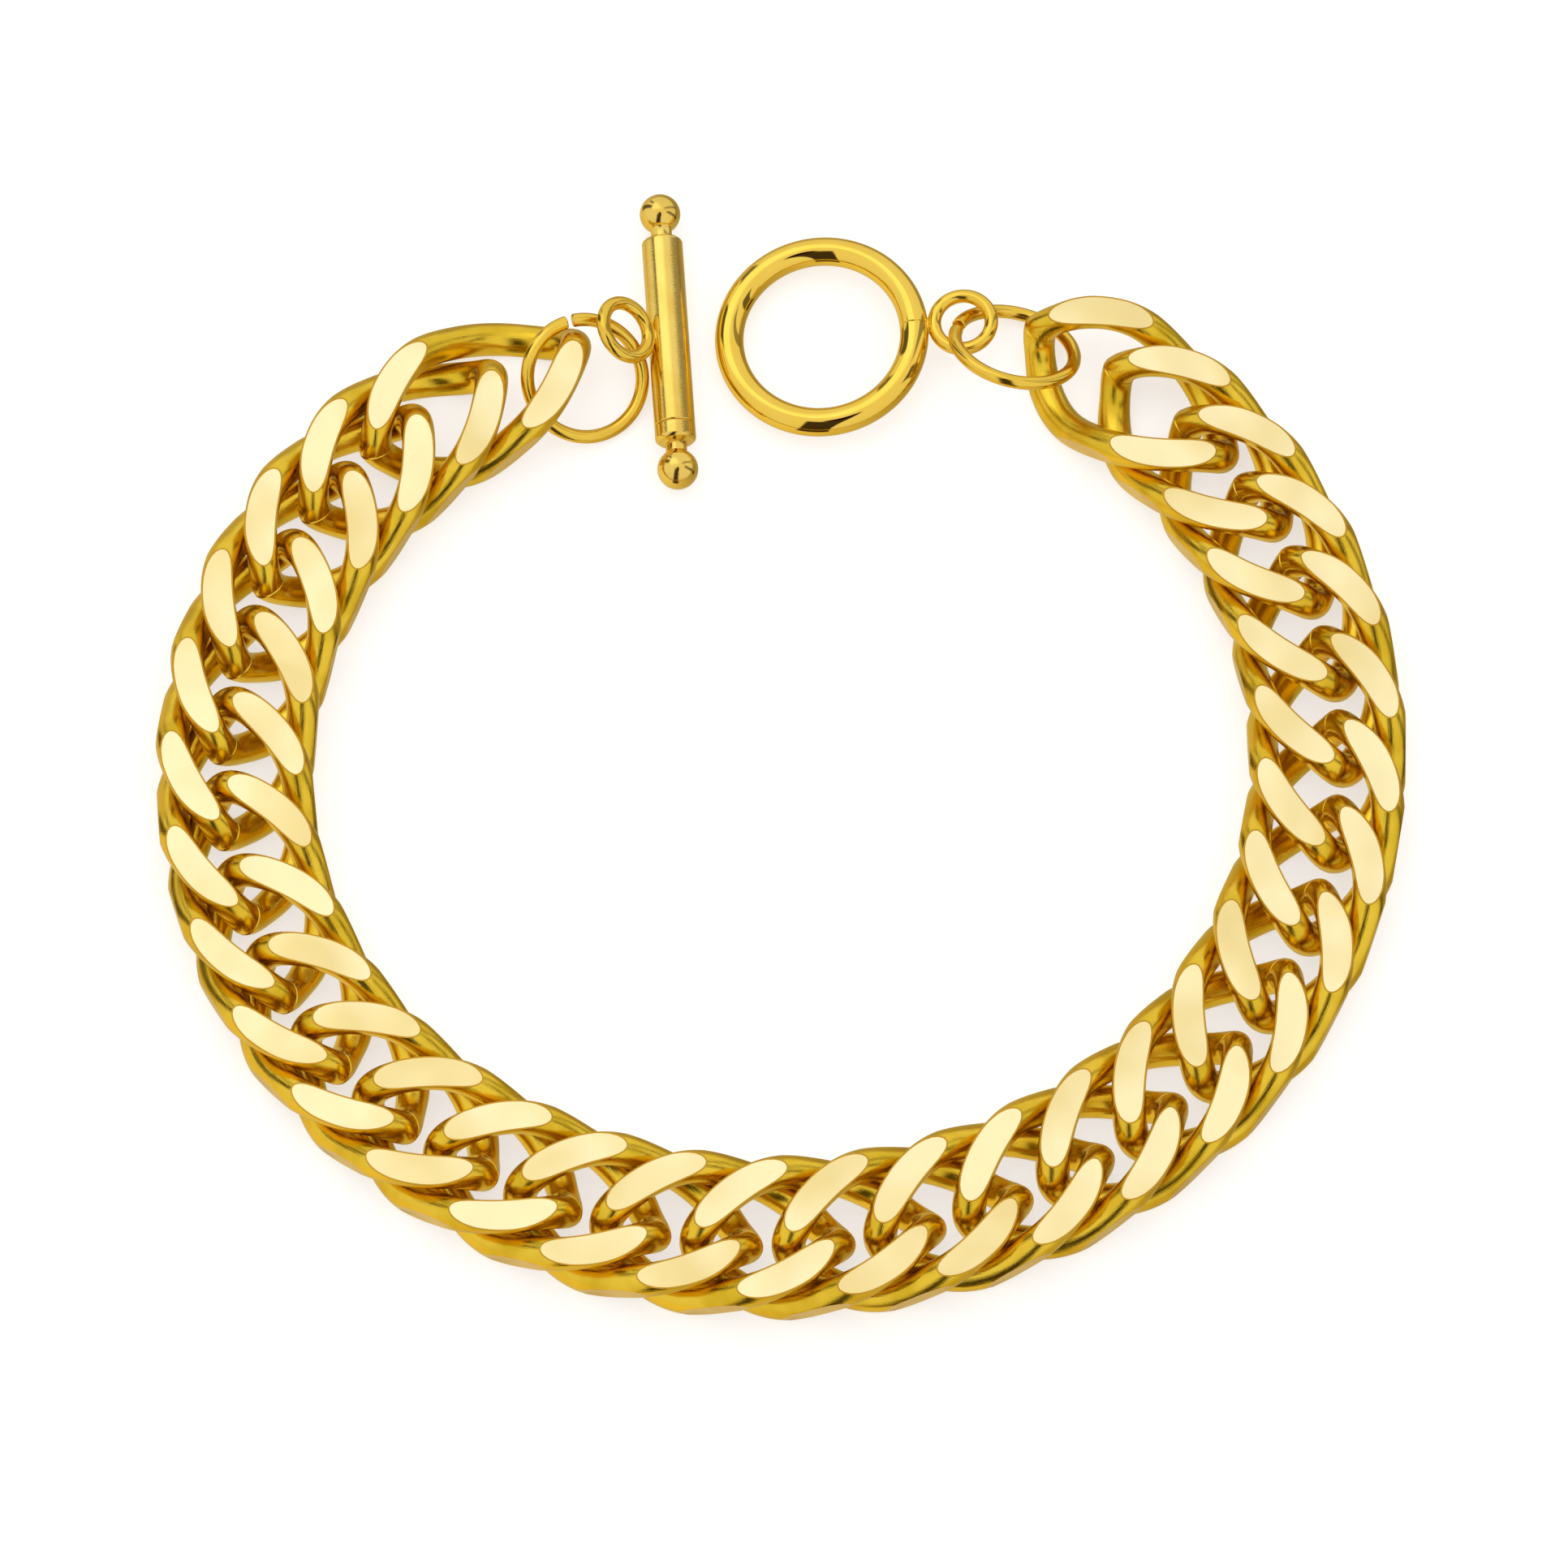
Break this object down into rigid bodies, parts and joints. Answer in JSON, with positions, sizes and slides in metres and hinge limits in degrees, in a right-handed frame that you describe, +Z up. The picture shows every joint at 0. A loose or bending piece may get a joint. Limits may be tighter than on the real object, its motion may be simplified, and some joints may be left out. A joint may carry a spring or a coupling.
{
  "type": "curb chain bracelet",
  "caption": "Heavy double curb chain with flat ground links, closed by a toggle bar and ring, laid flat in an almost closed loop.",
  "frame": {"origin": "centre of the bounding box, on the surface that the chain lies on", "axes": "+Z up from the surface, +Y towards the clasp, +X to the right, towards the toggle ring"},
  "size_m": [0.0858, 0.0828, 0.0057],
  "materials": {
    "link_gold": "polished yellow gold plate, with ground mirror flats",
    "jump_gold": "polished drawn wire, yellow gold plate",
    "ring_gold": "mirror polished yellow gold plate",
    "bar_gold": "turned and polished yellow gold plate, with fine turning marks"
  },
  "bodies": {
    "link_01": {"link_01": "link_gold"},
    "link_02": {"link_02": "link_gold"},
    "link_03": {"link_03": "link_gold"},
    "link_04": {"link_04": "link_gold"},
    "link_05": {"link_05": "link_gold"},
    "link_06": {"link_06": "link_gold"},
    "link_07": {"link_07": "link_gold"},
    "link_08": {"link_08": "link_gold"},
    "link_09": {"link_09": "link_gold"},
    "link_10": {"link_10": "link_gold"},
    "link_11": {"link_11": "link_gold"},
    "link_12": {"link_12": "link_gold"},
    "link_13": {"link_13": "link_gold"},
    "link_14": {"link_14": "link_gold"},
    "link_15": {"link_15": "link_gold"},
    "link_16": {"link_16": "link_gold"},
    "link_17": {"link_17": "link_gold"},
    "link_18": {"link_18": "link_gold"},
    "link_19": {"link_19": "link_gold"},
    "link_20": {"link_20": "link_gold"},
    "link_21": {"link_21": "link_gold"},
    "link_22": {"link_22": "link_gold"},
    "link_23": {"link_23": "link_gold"},
    "link_24": {"link_24": "link_gold"},
    "link_25": {"link_25": "link_gold"},
    "link_26": {"link_26": "link_gold"},
    "link_27": {"link_27": "link_gold"},
    "link_28": {"link_28": "link_gold"},
    "link_29": {"link_29": "link_gold"},
    "link_30": {"link_30": "link_gold"},
    "left_jump_ring": {"left_jump_ring": "jump_gold"},
    "right_jump_ring": {"right_jump_ring": "jump_gold"},
    "toggle_ring": {"toggle_ring": "ring_gold", "ring_eye": "ring_gold"},
    "toggle_bar": {"toggle_bar": "bar_gold", "bar_end": "bar_gold", "bar_eye": "bar_gold"}
  },
  "joints": [
    {"name": "bend_14_15", "type": "hinge", "parent": "link_15", "child": "link_14", "pos_m": [-0.00704, -0.03527, 0.0021], "axis": [0, 0, 1], "range_deg": [-1.5, 19.75]},
    {"name": "bend_13_14", "type": "hinge", "parent": "link_14", "child": "link_13", "pos_m": [-0.01296, -0.03377, 0.0021], "axis": [0, 0, 1], "range_deg": [-1.5, 19.75]},
    {"name": "bend_12_13", "type": "hinge", "parent": "link_13", "child": "link_12", "pos_m": [-0.0186, -0.0314, 0.0021], "axis": [0, 0, 1], "range_deg": [-1.5, 19.75]},
    {"name": "bend_11_12", "type": "hinge", "parent": "link_12", "child": "link_11", "pos_m": [-0.0238, -0.02819, 0.0021], "axis": [0, 0, 1], "range_deg": [-1.5, 19.75]},
    {"name": "bend_10_11", "type": "hinge", "parent": "link_11", "child": "link_10", "pos_m": [-0.02841, -0.02419, 0.0021], "axis": [0, 0, 1], "range_deg": [-1.5, 22]},
    {"name": "bend_09_10", "type": "hinge", "parent": "link_10", "child": "link_09", "pos_m": [-0.03222, -0.01942, 0.0021], "axis": [0, 0, 1], "range_deg": [-1.5, 22]},
    {"name": "bend_08_09", "type": "hinge", "parent": "link_09", "child": "link_08", "pos_m": [-0.03504, -0.01401, 0.0021], "axis": [0, 0, 1], "range_deg": [-1.5, 22]},
    {"name": "bend_07_08", "type": "hinge", "parent": "link_08", "child": "link_07", "pos_m": [-0.03679, -0.00816, 0.0021], "axis": [0, 0, 1], "range_deg": [-1.5, 22]},
    {"name": "bend_06_07", "type": "hinge", "parent": "link_07", "child": "link_06", "pos_m": [-0.03738, -0.00209, 0.0021], "axis": [0, 0, 1], "range_deg": [-1.5, 22]},
    {"name": "bend_05_06", "type": "hinge", "parent": "link_06", "child": "link_05", "pos_m": [-0.03681, 0.00398, 0.0021], "axis": [0, 0, 1], "range_deg": [-1.5, 22]},
    {"name": "bend_04_05", "type": "hinge", "parent": "link_05", "child": "link_04", "pos_m": [-0.03508, 0.00984, 0.0021], "axis": [0, 0, 1], "range_deg": [-1.5, 22]},
    {"name": "bend_03_04", "type": "hinge", "parent": "link_04", "child": "link_03", "pos_m": [-0.03228, 0.01526, 0.0021], "axis": [0, 0, 1], "range_deg": [-1.5, 22]},
    {"name": "bend_02_03", "type": "hinge", "parent": "link_03", "child": "link_02", "pos_m": [-0.02849, 0.02004, 0.0021], "axis": [0, 0, 1], "range_deg": [-1.5, 22]},
    {"name": "bend_01_02", "type": "hinge", "parent": "link_02", "child": "link_01", "pos_m": [-0.02385, 0.02401, 0.0021], "axis": [0, 0, 1], "range_deg": [-1.5, 22]},
    {"name": "bend_15_16", "type": "hinge", "parent": "link_15", "child": "link_16", "pos_m": [-0.00095, -0.03585, 0.0021], "axis": [0, 0, 1], "range_deg": [-19.75, 1.5]},
    {"name": "bend_16_17", "type": "hinge", "parent": "link_16", "child": "link_17", "pos_m": [0.00515, -0.03549, 0.0021], "axis": [0, 0, 1], "range_deg": [-19.75, 1.5]},
    {"name": "bend_17_18", "type": "hinge", "parent": "link_17", "child": "link_18", "pos_m": [0.01113, -0.03421, 0.0021], "axis": [0, 0, 1], "range_deg": [-19.75, 1.5]},
    {"name": "bend_18_19", "type": "hinge", "parent": "link_18", "child": "link_19", "pos_m": [0.01684, -0.03203, 0.0021], "axis": [0, 0, 1], "range_deg": [-19.75, 1.5]},
    {"name": "bend_19_20", "type": "hinge", "parent": "link_19", "child": "link_20", "pos_m": [0.02215, -0.02901, 0.0021], "axis": [0, 0, 1], "range_deg": [-19.75, 1.5]},
    {"name": "bend_20_21", "type": "hinge", "parent": "link_20", "child": "link_21", "pos_m": [0.02692, -0.02519, 0.0021], "axis": [0, 0, 1], "range_deg": [-21.4, 1.5]},
    {"name": "bend_21_22", "type": "hinge", "parent": "link_21", "child": "link_22", "pos_m": [0.03094, -0.0206, 0.0021], "axis": [0, 0, 1], "range_deg": [-21.4, 1.5]},
    {"name": "bend_22_23", "type": "hinge", "parent": "link_22", "child": "link_23", "pos_m": [0.03407, -0.01536, 0.0021], "axis": [0, 0, 1], "range_deg": [-21.4, 1.5]},
    {"name": "bend_23_24", "type": "hinge", "parent": "link_23", "child": "link_24", "pos_m": [0.0362, -0.00964, 0.0021], "axis": [0, 0, 1], "range_deg": [-21.4, 1.5]},
    {"name": "bend_24_25", "type": "hinge", "parent": "link_24", "child": "link_25", "pos_m": [0.03727, -0.00363, 0.0021], "axis": [0, 0, 1], "range_deg": [-21.4, 1.5]},
    {"name": "bend_25_26", "type": "hinge", "parent": "link_25", "child": "link_26", "pos_m": [0.03723, 0.00248, 0.0021], "axis": [0, 0, 1], "range_deg": [-21.4, 1.5]},
    {"name": "bend_26_27", "type": "hinge", "parent": "link_26", "child": "link_27", "pos_m": [0.03609, 0.00848, 0.0021], "axis": [0, 0, 1], "range_deg": [-21.4, 1.5]},
    {"name": "bend_27_28", "type": "hinge", "parent": "link_27", "child": "link_28", "pos_m": [0.03389, 0.01417, 0.0021], "axis": [0, 0, 1], "range_deg": [-21.4, 1.5]},
    {"name": "bend_28_29", "type": "hinge", "parent": "link_28", "child": "link_29", "pos_m": [0.0307, 0.01937, 0.0021], "axis": [0, 0, 1], "range_deg": [-21.4, 1.5]},
    {"name": "bend_29_30", "type": "hinge", "parent": "link_29", "child": "link_30", "pos_m": [0.02661, 0.02391, 0.0021], "axis": [0, 0, 1], "range_deg": [-21.4, 1.5]},
    {"name": "left_jump_ring_swing", "type": "hinge", "parent": "link_01", "child": "left_jump_ring", "pos_m": [-0.01452, 0.02965, 0.0021], "axis": [-0.2694, 0.4742, -0.8382], "range_deg": [-80, 12]},
    {"name": "toggle_bar_swing", "type": "hinge", "parent": "left_jump_ring", "child": "toggle_bar", "pos_m": [-0.01125, 0.03043, 0.00256], "axis": [-0.7707, 0.5261, 0.3594], "range_deg": [-22, 78]},
    {"name": "right_jump_ring_swing", "type": "hinge", "parent": "link_30", "child": "right_jump_ring", "pos_m": [0.01815, 0.03079, 0.0021], "axis": [0.3331, 0.4318, -0.8382], "range_deg": [-26, 22]},
    {"name": "toggle_ring_swing", "type": "hinge", "parent": "right_jump_ring", "child": "toggle_ring", "pos_m": [0.01261, 0.03128, 0.00243], "axis": [-0.4549, -0.7029, 0.5467], "range_deg": [-50, 30]}
  ]
}
